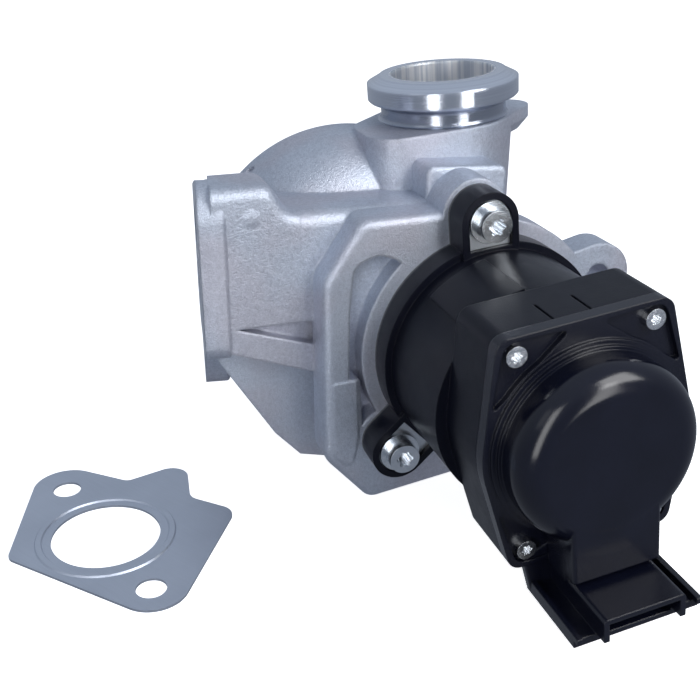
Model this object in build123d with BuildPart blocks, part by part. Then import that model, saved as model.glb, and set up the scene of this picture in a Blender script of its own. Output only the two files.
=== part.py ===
# Electrically driven exhaust gas recirculation valve with its loose port gasket.
# Millimetres. +Z is up, the actuator points along -Y and the port flange faces -X.
# The origin is on the actuator axis, at the casting face that the actuator is bolted to.
from build123d import *
from math import cos, sin, radians, sqrt
import os

os.makedirs("parts", exist_ok=True)

# Driving sizes of the casting
PLATE_T = 12.0            # thickness of the actuator plate, y = 0 to y = 12
PLATE_EDGE = 2.5
WEB_BACK, WEB_INSET = 14.0, 3.0       # web behind the plate
RIM_PAD_T = 0.5
POCKET_DEPTH = 7.0
GROOVE_W, GROOVE_DEPTH = 1.4, 3.0
WALL = 4.0                # general cast wall
PLENUM_X, PLENUM_Z = -28.0, 9.0
PLENUM_R = 50.0
PLENUM_FRONT, PLENUM_BACK = 27.0, 72.0
PLENUM_FRONT_ROUND, PLENUM_BACK_ROUND = 24.0, 14.0
DUCT_FRONT = 10.5         # front wall of the duct behind the port flange
DUCT_TOP, DUCT_BOTTOM = 44.0, 9.5
DUCT_ROUND = 4.5
LOWER_FRONT = 18.0        # front wall of the lower body
BODY_LEFT = -92.0         # rough left end, cut off at the port flange
BOSS_TOP, BOSS_BACK, BOSS_ROUND = 53.2, 31.0, 4.0
COLUMN_R, COLUMN_LEFT, COLUMN_FOOT = 22.8, -16.5, 20.0
COLUMN_PAD_T = 6.0
SEAT_PLATE_T, SEAT_DROP = 3.8, 4.0
SEAT_REACH, SEAT_EAR_R = 22.0, 8.5
MARK_AT, MARK_R, MARK_DEPTH = (-61.3, 54.5, 46.3), 2.3, 0.8
LUG_X, LUG_Z, LUG_R, LUG_HOLE_R = 41.2, 16.4, 11.2, 4.25
LUG_FRONT, LUG_BACK = 2.0, 13.0

# Outlines as corners with their rounding, seen from the cap
PLATE_CORNERS = [
    ((5.0, 43.8), 0), ((-40.6, 43.2), 5.0), ((-52.6, 25.0), 9.0), ((-52.3, -34.8), 9.0),
    ((-37.2, -52.33), 5.0), ((18.0, -44.5), 0),
]
POCKET_CORNERS = [
    ((-20.0, 21.0), 0), ((-26.2, 27.6), 0.8), ((-29.6, 30.4), 2.5), ((-35.5, 32.6), 5.0),
    ((-42.8, 29.4), 5.0), ((-44.1, 16.0), 6.0), ((-44.4, -7.4), 1.0), ((-41.0, -7.4), 1.0),
    ((-39.6, -30.0), 2.0), ((-20.0, -21.0), 0),
]
RIM_PAD = [
    ((-49.8, -8.0), 0.6), ((-41.9, -7.8), 0.4), ((-41.2, -28.0), 1.0), ((-43.5, -39.5), 2.0), ((-49.6, -33.5), 3.0),
]
COLUMN_PAD = [((-11.5, 34.0), 0), ((-11.5, 50.4), 2.5), ((14.6, 49.6), 2.0), ((14.6, 34.0), 0)]

# Port flange and its gasket
PORT_POS = (-81.5, 45.0, 22.5)
PORT_TOE = 8.4            # degrees that the port face looks back from -X
FLANGE_TURN = 41.7        # degrees from the forward direction up to the bolt line
FLANGE_T = 8.0
FLANGE_EDGE = 1.2
BOLT_END_R, BOLT_END = 9.2, 14.5         # round ends behind the port bolts
PORT_R = 16.6
PORT_STRAIGHT = 14.0      # straight bore behind the port face
BOLT_SPAN = 64.0
PORT_BOLT_R = 4.5         # clearance holes of the gasket
PORT_THREAD_R, PORT_THREAD_DEPTH = 4.0, 17.0    # tapped M8 holes behind it
GASKET_T = 0.8
BEAD_RING_R = 21.5        # embossed sealing bead of the gasket
BEAD_RING_H = 0.5

# Spigot
SPIGOT_X, SPIGOT_Y, SPIGOT_Z = 4.6, 48.0, 62.3
SPIGOT_TILT = 4.6         # degrees that the spigot leans towards the port flange
BEAD_R = 25.0
NECK_R = 20.8
BEAD_LOW, BEAD_TOP, SPIGOT_H = 6.4, 12.0, 14.4
SPIGOT_BORE_R = 17.0
OUTLET_R = 15.0

# Valve
LIFT = 6.0
SEAT_Y = 36.0             # rear face of the seat ring
SEAT_T = 4.5
SEAT_BORE_R, SEAT_OUT_R = 11.5, 14.5
HEAD_R, HEAD_T = 13.0, 3.0
STEM_R = 3.0
RUNNING = 0.04            # radial clearance of running fits
SEAT_GAP = 0.1            # between valve head and seat when closed
CHAMBER_R = 19.0
CHAMBER_FRONT, CHAMBER_BACK = 17.0, 30.0
GUIDE_R, GUIDE_FRONT, GUIDE_BACK = 6.0, 7.0, 22.0
SEAL_T = 2.8
OUT_CHAMBER_R, OUT_CHAMBER_BACK = 20.0, 71.0
PLUG_R, PLUG_T = 21.0, 5.0
REAR_BOSS_R, REAR_BOSS_BACK = 27.0, 76.0

# Return spring and its retainer
SPRING_MEAN_R, WIRE_R, SPRING_TURNS = 9.5, 1.0, 4.5
SPRING_POCKET_R, SPRING_POCKET_DEPTH = 13.0, 4.0
RETAINER_Y, RETAINER_T, RETAINER_R = -14.5, 2.5, 11.5
COLLET_R = 4.6
STEM_END = -20.0

# Cover dome, which sets the bore and barrel of the actuator
DOME_R = 26.2
BORE_R = DOME_R + 1.8
SMALL_BORE_R = BORE_R - 4.0
BARREL_WALL = 5.8
BODY_R = BORE_R + BARREL_WALL
FLANGE_R = BODY_R + 2.2
BOSS_R = FLANGE_R + 4.3   # round boss of the casting behind the actuator

# Actuator mounting
BASE_GASKET_T = 0.8
BASE_T = 3.0
BASE_R = FLANGE_R - 1.5
EAR_RADIUS = FLANGE_R + 6.9           # screw circle
EAR_ANGLES = (96.1, 223.6, 340.0)
EAR_R, EAR_WALL, EAR_LEDGE = 9.0, 1.8, 1.5
WINDOW_R = 6.8
EAR_FRONT = -10.5
SCREW_SEAT = -9.0         # pads of the base plate under the screws
SCREW_R = 3.0
SCREW_FLANGE_R, SCREW_FLANGE_T = 6.35, 1.6
SCREW_HEAD_R, SCREW_HEAD_H = 4.8, 4.4
SCREW_DEPTH = 12.0
LOOSE = 0.1               # fitted pieces that don't move

# Actuator housing
FLANGE_FRONT = -9.0
BARREL_PAD, BARREL_PAD_BACK = 0.9, -15.5
BARREL_PAD_FROM, BARREL_PAD_TO = 104.0, 136.5
BLOCK_BACK = -43.0        # back of the block that carries the cover
SLIT_W, SLIT_DEPTH = 2.4, 3.2
COVER_SEAT = -62.0
SHIELD_SEAT = -21.0
NOSE_HOLE_R = 14.5

# Motor
SHIELD_T = 7.0
BEARING_IN_R, BEARING_OUT_R, BEARING_W = 6.0, 12.0, 5.0
BALL_R, BALL_COUNT = 1.7, 8
RACE_T = 1.6
CORE_LEN, YOKE_T = 14.0, 3.0
CORE_IN_R = BORE_R - 11.4
CORE_FRONT = -31.0
TOOTH_W, TOOTH_COUNT = 6.0, 6
COIL_T, COIL_OVER = 2.6, 2.4
MAGNET_R = CORE_IN_R - 0.6
MAGNET_T, MAGNET_COUNT = 3.2, 4
REAR_SHIELD_Y = -48.0
SPINDLE_R = 4.0
SPINDLE_END = -64.0
NUT_FRONT, NUT_BACK = -31.0, -45.0
HOLDER_R, HOLDER_FRONT, HOLDER_BACK = 6.8, -61.2, -66.8
KEY_W, KEY_H = 3.0, 1.6
GUIDE_TUBE_R, GUIDE_TUBE_BACK = 10.4, -67.5
SENSOR_MAGNET_R, SENSOR_MAGNET_T = 3.0, 2.2

# Cover
CAP_TURN = 7.4            # degrees that the cover is turned about the actuator axis
CAP_HALF_X, CAP_HALF_Z = 19.5, 29.6   # cover screw pattern
CAP_CORNER_X, CAP_CORNER_Z, CAP_LOBE_R = 21.0, 30.8, 4.2
CAP_WAIST_R = DOME_R + 4.3
COVER_PLATE_T = 4.0
CAP_POCKET = 1.8          # depth of the corner pockets round the cover screws
TAB_X, TAB_W, TAB_LEN = -1.8, 10.6, 10.0
DOME_FRONT = -80.0
DOME_ROUND = 7.0
DOME_WALL = 2.2
CAP_SCREW_R, CAP_HEAD_R, CAP_HEAD_H = 1.75, 2.85, 2.1
CAP_SCREW_DEPTH = 12.0
NECK_HALF, NECK_FRONT, NECK_BOTTOM = 13.0, -75.0, -34.5
SHROUD_HALF, SHROUD_TOP, SHROUD_BOTTOM = 12.0, -36.0, -45.6
SHROUD_FRONT, SHROUD_LIP = -93.0, -89.0
SHROUD_WALL = 1.6
MOUTH_BACK = -78.0
RAIL_HALF, RAIL_FRONT, RAIL_T, RAIL_LIP = 18.5, -91.0, 2.4, 4.2
PIN_COUNT, PIN_PITCH, PIN_W, PIN_T = 5, 3.8, 1.5, 0.8
PIN_FRONT = -87.0
BLADE_TOP, TAIL_Z, TAIL_W, TAIL_H = -26.0, -24.0, 20.0, 14.0
BOARD_FRONT, BOARD_T, BOARD_R = -71.6, 1.6, 20.5

# Where the loose gasket lies
GASKET_AT = (-122.0, 5.0)
GASKET_TURN = -72.5

cap_plane_x = (cos(radians(CAP_TURN)), 0, sin(radians(CAP_TURN)))
port_out = (-cos(radians(PORT_TOE)), sin(radians(PORT_TOE)), 0)
port_in = (-port_out[0], -port_out[1], 0)
port_fore = (-sin(radians(PORT_TOE)), -cos(radians(PORT_TOE)), 0)
port_bolt_line = tuple(
    cos(radians(FLANGE_TURN)) * fore + sin(radians(FLANGE_TURN)) * up
    for fore, up in zip(port_fore, (0, 0, 1))
)
PORT = Plane(origin=PORT_POS, x_dir=port_bolt_line, z_dir=port_in)
spigot_dir = (-sin(radians(SPIGOT_TILT)), 0, cos(radians(SPIGOT_TILT)))
spigot_foot = (SPIGOT_X, SPIGOT_Y, SPIGOT_Z)
SPIGOT = Plane(origin=spigot_foot, x_dir=(0, -1, 0), z_dir=spigot_dir)
SPIGOT_SIDE = Plane(origin=spigot_foot, x_dir=(0, -1, 0), z_dir=(-spigot_dir[2], 0, spigot_dir[0]))
SPIGOT_AXIS = Axis(spigot_foot, spigot_dir)


def facing_front(y):
    """Sketch plane at depth y; an extrusion from it runs towards the cap."""
    return Plane(origin=(0, y, 0), x_dir=(1, 0, 0), z_dir=(0, -1, 0))


def cap_plane(y):
    """The same plane, turned with the cover."""
    return Plane(origin=(0, y, 0), x_dir=cap_plane_x, z_dir=(0, -1, 0))


def turned(profile, label):
    """A piece turned on the actuator axis from (radius, y) points."""
    with BuildPart() as piece:
        with BuildSketch(Plane.XY):
            with BuildLine():
                Polyline(*profile, close=True)
            make_face()
        revolve(axis=Axis.Y)
    piece.part.label = label
    return piece


def tube_points(inner, outer, y_a, y_b):
    return [(inner, y_a), (outer, y_a), (outer, y_b), (inner, y_b)]


def ear_spots(radius=EAR_RADIUS):
    return [(radius * cos(radians(a)), radius * sin(radians(a))) for a in EAR_ANGLES]


def save(piece, name):
    piece.part.label = name
    export_step(piece.part, f"parts/{name}.step")


def rounded(corners):
    """A closed outline from (corner, rounding) pairs."""
    with BuildSketch() as outline:
        with BuildLine():
            Polyline(*[spot for spot, _ in corners], close=True)
        make_face()
        for spot, rounding in corners:
            if rounding:
                fillet(outline.vertices().sort_by_distance((*spot, 0))[0], rounding)
    return outline.sketch


def gasket_outline():
    """Outline shared by the port flange and the gasket: bolt line along x, port at the origin."""
    half = BOLT_SPAN / 2
    return rounded([
        ((-half - 22.2, 0.3), 11.0),
        ((-half + 6.7, 18.6), 3.0),
        ((-half + 7.3, 40.5), 6.0),
        ((-4.0, 31.2), 5.0),
        ((11.1, 39.7), 5.5),
        ((half + 16.8, -2.7), 10.5),
        ((-6.0, -28.9), 4.0),
    ])


def cap_outline(lobe=CAP_LOBE_R, waist=CAP_WAIST_R):
    """Outline of the cover and of the block that it closes."""
    with BuildSketch() as outline:
        with GridLocations(2 * CAP_CORNER_X, 2 * CAP_CORNER_Z, 2, 2):
            Circle(lobe)
        Circle(waist)
        make_hull()
    return outline.sketch


def ear_outline(disc, ear):
    """Round flange with three parallel-sided ears."""
    with BuildSketch() as outline:
        Circle(disc)
        for angle in EAR_ANGLES:
            with Locations(Rotation(0, 0, angle)):
                with Locations((EAR_RADIUS / 2, 0)):
                    Rectangle(EAR_RADIUS, 2 * ear)
                with Locations((EAR_RADIUS, 0)):
                    Circle(ear)
    return outline.sketch


def window_outline(clearance=0.0):
    """The slots over the mounting screws, from each screw in to the barrel."""
    with BuildSketch() as outline:
        for angle in EAR_ANGLES:
            with Locations(Rotation(0, 0, angle)):
                with Locations((EAR_RADIUS, 0)):
                    Circle(WINDOW_R - clearance)
                with Locations(((EAR_RADIUS + BODY_R + 1) / 2, 0)):
                    Rectangle(EAR_RADIUS - BODY_R - 1 - 2 * clearance, 2 * (WINDOW_R - clearance))
    return outline.sketch


back_of_body = PLENUM_BACK - PLENUM_BACK_ROUND

# Plate that the actuator is bolted to: smooth outline, rounded front edge, dark pocket beside the seat
with BuildPart() as plate:
    with BuildSketch(facing_front(PLATE_T)):
        add(rounded(PLATE_CORNERS))
    extrude(amount=PLATE_T)
    front_edges = plate.edges().group_by(Axis.Y)[0]
    fillet([edge for edge in front_edges if edge.center().X < 15], PLATE_EDGE)
    with BuildSketch(facing_front(PLATE_T + WEB_BACK)):
        offset(rounded(PLATE_CORNERS), amount=-WEB_INSET)
    extrude(amount=WEB_BACK)
    # patch of the rim that stands a little proud
    with BuildSketch(facing_front(0)):
        add(rounded(RIM_PAD))
    extrude(amount=RIM_PAD_T)
    with BuildSketch(facing_front(POCKET_DEPTH)):
        add(rounded(POCKET_CORNERS))
        Circle(FLANGE_R, mode=Mode.SUBTRACT)
        with Locations(*ear_spots()):
            Circle(EAR_R + 0.3, mode=Mode.SUBTRACT)
    extrude(amount=POCKET_DEPTH + 1, mode=Mode.SUBTRACT)
    # narrow groove that follows the actuator flange
    with BuildSketch(facing_front(GROOVE_DEPTH)):
        Circle(FLANGE_R + GROOVE_W)
        Circle(FLANGE_R, mode=Mode.SUBTRACT)
        with Locations((FLANGE_R, 0)):
            Rectangle(2 * FLANGE_R, 4 * FLANGE_R, mode=Mode.SUBTRACT)
    extrude(amount=GROOVE_DEPTH, mode=Mode.SUBTRACT)

# Duct, bolt boss, lower body and rib, all cut off at the back of the port flange
with BuildPart() as body:
    with BuildSketch(facing_front(back_of_body)):
        with BuildLine():
            Polyline((BODY_LEFT, DUCT_TOP), (-12, DUCT_TOP), (-12, DUCT_BOTTOM), (BODY_LEFT, DUCT_BOTTOM), close=True)
        make_face()
    extrude(amount=back_of_body - DUCT_FRONT)
    fillet(body.edges().filter_by(Axis.X).sort_by_distance((-50, DUCT_FRONT, DUCT_TOP))[0], DUCT_ROUND)
    # lower body with its flat slanted side
    with BuildSketch(facing_front(back_of_body)):
        with BuildLine():
            Polyline((BODY_LEFT, DUCT_BOTTOM + 6), (BODY_LEFT, 13.4), (-77.7, -9.9), (-64.1, -32.1), (-55.7, -41.5),
                     (-46.0, -44.0), (-8, -44.0), (-8, DUCT_BOTTOM + 6), close=True)
        make_face()
    extrude(amount=back_of_body - LOWER_FRONT)
    # slanted rib under the duct
    with BuildSketch(facing_front(LOWER_FRONT + 2)):
        with BuildLine():
            Polyline((BODY_LEFT, 14.5), (-48, 0), (-48, -9.7), (BODY_LEFT, 6.6), close=True)
        make_face()
    extrude(amount=LOWER_FRONT + 2 - DUCT_FRONT)
    with BuildSketch(facing_front(LOWER_FRONT + 2)):
        with BuildLine():
            Polyline((BODY_LEFT, DUCT_BOTTOM + 1), (-47, DUCT_BOTTOM + 1), (-47, -2), (BODY_LEFT, 8), close=True)
        make_face()
    extrude(amount=LOWER_FRONT - 2 - DUCT_FRONT)
    split(bisect_by=PORT.offset(FLANGE_T / 2), keep=Keep.TOP)

# Boss behind the front port bolt, falling to the duct in an S-curve
with BuildPart() as bolt_boss:
    with BuildSketch(facing_front(BOSS_BACK)):
        with BuildLine():
            boss_low = DUCT_TOP - 14
            Polyline((-56, DUCT_TOP), (-56, boss_low), (BODY_LEFT, boss_low), (BODY_LEFT, BOSS_TOP), (-68, BOSS_TOP))
            Spline((-68, BOSS_TOP), (-61.8, (BOSS_TOP + DUCT_TOP) / 2), (-56, DUCT_TOP), tangents=((1, 0), (1, 0)))
        make_face()
    extrude(amount=BOSS_BACK - DUCT_FRONT)
    boss_rims = bolt_boss.edges().group_by(Axis.Y)[0] + bolt_boss.edges().group_by(Axis.Y)[-1]
    fillet([edge for edge in boss_rims if edge.center().Z > DUCT_TOP + 1], BOSS_ROUND)
    split(bisect_by=PORT.offset(FLANGE_T / 2), keep=Keep.TOP)

# Port flange with a softened back edge, and the round ends behind its two bolts
with BuildPart() as port_flange:
    with BuildSketch(PORT):
        add(gasket_outline())
    extrude(amount=FLANGE_T)
    back_face = port_flange.faces().sort_by_distance(PORT.offset(FLANGE_T).origin)[0]
    fillet(back_face.edges(), FLANGE_EDGE)
    with BuildSketch(PORT):
        with Locations((BOLT_SPAN / 2, 0), (-BOLT_SPAN / 2, 0)):
            Circle(BOLT_END_R)
    extrude(amount=BOLT_END)
    with Locations(PORT.offset(BOLT_END)):
        with Locations((BOLT_SPAN / 2, 0), (-BOLT_SPAN / 2, 0)):
            Sphere(BOLT_END_R)

# Column under the spigot, round on the right and squarer on the left, cut off square to the spigot
with BuildPart() as column:
    with BuildSketch(Plane.XY.offset(COLUMN_FOOT)):
        with Locations((SPIGOT_X, SPIGOT_Y)):
            Circle(COLUMN_R)
        with Locations((COLUMN_LEFT, SPIGOT_Y - 12), (COLUMN_LEFT, SPIGOT_Y - 2)):
            Circle(COLUMN_R - 12)
        make_hull()
    extrude(amount=SPIGOT_Z - COLUMN_FOOT + 6)
    split(bisect_by=SPIGOT, keep=Keep.BOTTOM)

# Casting: plate, duct, plenum, column, spigot and port flange in one piece
with BuildPart() as valve_housing:
    add(plate.part)
    add(body.part)
    add(bolt_boss.part)
    add(port_flange.part)
    # round seat of the actuator, with a boss behind each of its ears
    with BuildSketch(facing_front(PLATE_T)):
        Circle(BOSS_R)
        with Locations(*ear_spots()):
            Circle(EAR_R + EAR_LEDGE)
    extrude(amount=PLATE_T)
    # bolt lug on the right
    with BuildSketch(facing_front(LUG_BACK)):
        with Locations((LUG_X, LUG_Z)):
            Circle(LUG_R)
        with Locations((LUG_X - 11.5, LUG_Z - 3.5)):
            Circle(LUG_R + 0.5)
        make_hull()
    extrude(amount=LUG_BACK - LUG_FRONT)
    # round plenum with rolled edges
    with BuildSketch(Plane(origin=(PLENUM_X, 0, PLENUM_Z), x_dir=(1, 0, 0), z_dir=(0, 0, 1))):
        with BuildLine():
            front_rim = (PLENUM_R - PLENUM_FRONT_ROUND, PLENUM_FRONT)
            side_front = (PLENUM_R, PLENUM_FRONT + PLENUM_FRONT_ROUND)
            back_rim = (PLENUM_R - PLENUM_BACK_ROUND, PLENUM_BACK)
            Line((0, PLENUM_FRONT), front_rim)
            RadiusArc(front_rim, side_front, -PLENUM_FRONT_ROUND)
            Line(side_front, (PLENUM_R, back_of_body))
            RadiusArc((PLENUM_R, back_of_body), back_rim, -PLENUM_BACK_ROUND)
            Line(back_rim, (0, PLENUM_BACK))
            Line((0, PLENUM_BACK), (0, PLENUM_FRONT))
        make_face()
    revolve(axis=Axis((PLENUM_X, 0, PLENUM_Z), (0, 1, 0)))
    add(column.part)
    # raised pad between the upper ear and the column
    with BuildSketch(facing_front(SPIGOT_Y - COLUMN_R + 4)):
        add(rounded(COLUMN_PAD))
    extrude(amount=COLUMN_PAD_T + 4)
    with BuildSketch(facing_front(SPIGOT_Y - COLUMN_R + 4)):
        with Locations(ear_spots()[0]):
            Circle(EAR_R + EAR_LEDGE)
    extrude(amount=SPIGOT_Y - COLUMN_R + 4 - PLATE_T)
    # seat of the spigot with an ear on either side, drawn in below
    for depth, drop, draft in ((0, SEAT_PLATE_T, 0), (SEAT_PLATE_T, SEAT_DROP, 40)):
        with BuildSketch(SPIGOT.offset(-depth)):
            Circle(COLUMN_R - 0.8)
            with Locations((0, -SEAT_REACH), (0, SEAT_REACH)):
                Circle(SEAT_EAR_R)
            make_hull()
        extrude(amount=-drop, taper=draft)
    # machined spigot with its hose bead
    with BuildSketch(SPIGOT_SIDE):
        with BuildLine():
            Polyline((0, -3), (NECK_R + 1.6, -3), (NECK_R + 1.6, 0))
            ThreePointArc((NECK_R + 1.6, 0), (NECK_R + 0.47, 0.47), (NECK_R, 1.6))
            Polyline((NECK_R, 1.6), (NECK_R, BEAD_LOW - 1.8), (BEAD_R - 2.2, BEAD_LOW), (BEAD_R - 0.5, BEAD_LOW),
                     (BEAD_R, BEAD_LOW + 0.5), (BEAD_R, BEAD_TOP), (NECK_R + 0.4, SPIGOT_H - 0.4),
                     (NECK_R, SPIGOT_H), (0, SPIGOT_H), (0, -3))
        make_face()
    revolve(axis=SPIGOT_AXIS)
    # ejector mark on the plenum
    with BuildSketch(Plane(origin=MARK_AT, z_dir=(PLENUM_X - MARK_AT[0], 0, PLENUM_Z - MARK_AT[2]))):
        Circle(MARK_R)
    extrude(amount=MARK_DEPTH, mode=Mode.SUBTRACT)
    # wall round the inlet passage
    with BuildSketch(PORT.offset(FLANGE_T / 2)):
        Circle(PORT_R + WALL)
    with BuildSketch(Plane(origin=(-12, 24, 0), x_dir=(0, 1, 0), z_dir=(1, 0, 0))):
        Ellipse(6.0 + WALL, 13.0 + WALL)
    loft()
    # rear boss round the valve chambers
    with BuildSketch(facing_front(REAR_BOSS_BACK)):
        Circle(REAR_BOSS_R)
    extrude(amount=REAR_BOSS_BACK)
    # inlet passage, front chamber with the guide boss left standing
    with BuildSketch(PORT):
        Circle(PORT_R)
    extrude(amount=PORT_STRAIGHT, mode=Mode.SUBTRACT)
    with BuildSketch(PORT.offset(PORT_STRAIGHT)):
        Circle(PORT_R)
    with BuildSketch(Plane(origin=(-12, 23.5, 0), x_dir=(0, 1, 0), z_dir=(1, 0, 0))):
        Ellipse(6.0, 13.0)
    loft(mode=Mode.SUBTRACT)
    with BuildSketch(facing_front(CHAMBER_BACK)):
        Circle(CHAMBER_R)
    extrude(amount=CHAMBER_BACK - CHAMBER_FRONT, mode=Mode.SUBTRACT)
    with BuildSketch(facing_front(GUIDE_BACK - 2)):
        Circle(GUIDE_R + 2.5)
    extrude(amount=GUIDE_BACK - 2 - CHAMBER_FRONT + 1)
    # seat, rear chamber and plug bores on the valve axis
    axis_bores = [
        (0, SPRING_POCKET_DEPTH, SPRING_POCKET_R),
        (SPRING_POCKET_DEPTH - 1, GUIDE_BACK, GUIDE_R + LOOSE / 2),
        (CHAMBER_BACK - 1, SEAT_Y, SEAT_OUT_R - 1.5),
        (SEAT_Y - SEAT_T, SEAT_Y, SEAT_OUT_R + LOOSE / 2),
        (SEAT_Y, OUT_CHAMBER_BACK, OUT_CHAMBER_R),
        (OUT_CHAMBER_BACK, REAR_BOSS_BACK, PLUG_R + LOOSE / 2),
    ]
    for near, far, radius in axis_bores:
        with BuildSketch(facing_front(far)):
            Circle(radius)
        extrude(amount=far - near, mode=Mode.SUBTRACT)
    # outlet up through the spigot
    with BuildSketch(SPIGOT.offset(SPIGOT_H)):
        Circle(SPIGOT_BORE_R)
    extrude(amount=-SPIGOT_H - 20, mode=Mode.SUBTRACT)
    with BuildSketch(SPIGOT.offset(-20)):
        Circle(SPIGOT_BORE_R)
    with BuildSketch(Plane.XY.offset(8)):
        with Locations((2, 53.5)):
            Circle(OUTLET_R)
    loft(mode=Mode.SUBTRACT)
    # holes for the mounting screws, the port bolts and the lug
    with BuildSketch(facing_front(SCREW_DEPTH + 0.5)):
        with Locations(*ear_spots()):
            Circle(SCREW_R + LOOSE / 2)
    extrude(amount=SCREW_DEPTH + 0.5, mode=Mode.SUBTRACT)
    with BuildSketch(PORT):
        with Locations((BOLT_SPAN / 2, 0), (-BOLT_SPAN / 2, 0)):
            Circle(PORT_THREAD_R)
    extrude(amount=PORT_THREAD_DEPTH, mode=Mode.SUBTRACT)
    with BuildSketch(facing_front(LUG_BACK)):
        with Locations((LUG_X, LUG_Z)):
            Circle(LUG_HOLE_R)
    extrude(amount=LUG_BACK - LUG_FRONT, mode=Mode.SUBTRACT)

# Loose gasket: sheet steel with an embossed bead round the port hole
gasket_plane = Plane(
    origin=(*GASKET_AT, -52.0),
    x_dir=(cos(radians(GASKET_TURN)), sin(radians(GASKET_TURN)), 0),
    z_dir=(0, 0, 1),
)
with BuildPart() as port_gasket:
    with BuildSketch(gasket_plane):
        add(gasket_outline())
        Circle(PORT_R, mode=Mode.SUBTRACT)
        with Locations((BOLT_SPAN / 2, 0), (-BOLT_SPAN / 2, 0)):
            Circle(PORT_BOLT_R, mode=Mode.SUBTRACT)
    extrude(amount=GASKET_T)
    with BuildSketch(gasket_plane.offset(GASKET_T)):
        Circle(BEAD_RING_R)
        Circle(BEAD_RING_R - 2.4, mode=Mode.SUBTRACT)
    extrude(amount=BEAD_RING_H, taper=40)

# Valve: seat, head with stem, guide and scraper
seat_ring = turned(tube_points(SEAT_BORE_R, SEAT_OUT_R, SEAT_Y - SEAT_T, SEAT_Y), "seat_ring")
core_plug = turned(
    [(0, OUT_CHAMBER_BACK + 1.5), (PLUG_R - 3, OUT_CHAMBER_BACK + 1.5), (PLUG_R - 3, REAR_BOSS_BACK - 0.5),
     (PLUG_R - 1.5, REAR_BOSS_BACK - 0.5), (PLUG_R, REAR_BOSS_BACK - 1.5), (PLUG_R, OUT_CHAMBER_BACK),
     (0, OUT_CHAMBER_BACK)],
    "core_plug",
)
head_y = SEAT_Y + SEAT_GAP
groove_y = RETAINER_Y - RETAINER_T / 2
groove_r = STEM_R - 0.6
poppet_valve = turned(
    [(0, head_y + HEAD_T), (HEAD_R - 1, head_y + HEAD_T), (HEAD_R, head_y + HEAD_T - 1), (HEAD_R, head_y),
     (SEAT_BORE_R - 0.6, head_y), (SEAT_BORE_R - 1.4, head_y - 1.5), (STEM_R, head_y - 9),
     (STEM_R, groove_y + 0.7), (groove_r, groove_y + 0.7), (groove_r, groove_y - 0.7), (STEM_R, groove_y - 0.7),
     (STEM_R, STEM_END + 0.5), (STEM_R - 0.5, STEM_END), (0, STEM_END)],
    "poppet_valve",
)
seal_front = SPRING_POCKET_DEPTH
stem_guide = turned(tube_points(STEM_R + RUNNING, GUIDE_R, seal_front + SEAL_T, GUIDE_BACK), "stem_guide")
stem_seal = turned(
    [(STEM_R + RUNNING, seal_front + 0.2), (STEM_R + 1, seal_front), (GUIDE_R, seal_front),
     (GUIDE_R, seal_front + SEAL_T), (STEM_R + RUNNING, seal_front + SEAL_T)],
    "stem_seal",
)

# Retainer, split collets and return spring
spring_retainer = turned(
    [(COLLET_R + LOOSE / 2, RETAINER_Y), (RETAINER_R, RETAINER_Y), (RETAINER_R, RETAINER_Y - 1.3),
     (COLLET_R + 3, RETAINER_Y - RETAINER_T), (COLLET_R + LOOSE / 2, RETAINER_Y - RETAINER_T)],
    "spring_retainer",
)
with BuildPart() as collets:
    with BuildSketch(Plane.XY):
        with BuildLine():
            Polyline((STEM_R, RETAINER_Y), (COLLET_R, RETAINER_Y), (COLLET_R, RETAINER_Y - RETAINER_T),
                     (STEM_R, RETAINER_Y - RETAINER_T), (STEM_R, groove_y - 0.6), (groove_r, groove_y - 0.6),
                     (groove_r, groove_y + 0.6), (STEM_R, groove_y + 0.6), close=True)
        make_face()
    revolve(axis=Axis.Y)
    with BuildSketch(facing_front(RETAINER_Y)):
        Rectangle(2 * COLLET_R + 2, 0.8)
    extrude(amount=RETAINER_T, mode=Mode.SUBTRACT)

coil_from = SPRING_POCKET_DEPTH - WIRE_R - 0.1
coil_to = RETAINER_Y + WIRE_R + 0.1
with BuildPart() as return_spring:
    with BuildLine():
        coil = Helix(
            pitch=(coil_from - coil_to) / SPRING_TURNS,
            height=coil_from - coil_to,
            radius=SPRING_MEAN_R,
            center=(0, coil_from, 0),
            direction=(0, -1, 0),
        )
    with BuildSketch(Plane(origin=coil @ 0, z_dir=coil % 0)):
        Circle(WIRE_R)
    sweep(is_frenet=True)

# Insulating gasket, base plate and mounting screws
with BuildPart() as base_gasket:
    with BuildSketch(facing_front(0)):
        add(ear_outline(FLANGE_R, EAR_R))
        Circle(NOSE_HOLE_R, mode=Mode.SUBTRACT)
        with Locations(*ear_spots()):
            Circle(SCREW_R + 0.4, mode=Mode.SUBTRACT)
    extrude(amount=BASE_GASKET_T)
base_front = -BASE_GASKET_T - BASE_T
with BuildPart() as base_plate:
    with BuildSketch(facing_front(-BASE_GASKET_T)):
        add(ear_outline(BASE_R, EAR_R - EAR_WALL))
        Circle(NOSE_HOLE_R, mode=Mode.SUBTRACT)
    extrude(amount=BASE_T)
    with BuildSketch(facing_front(base_front)):
        add(window_outline(LOOSE))
    extrude(amount=base_front - SCREW_SEAT)
    with BuildSketch(facing_front(-BASE_GASKET_T)):
        with Locations(*ear_spots()):
            Circle(SCREW_R + 0.3)
    extrude(amount=-BASE_GASKET_T - SCREW_SEAT, mode=Mode.SUBTRACT)
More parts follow.
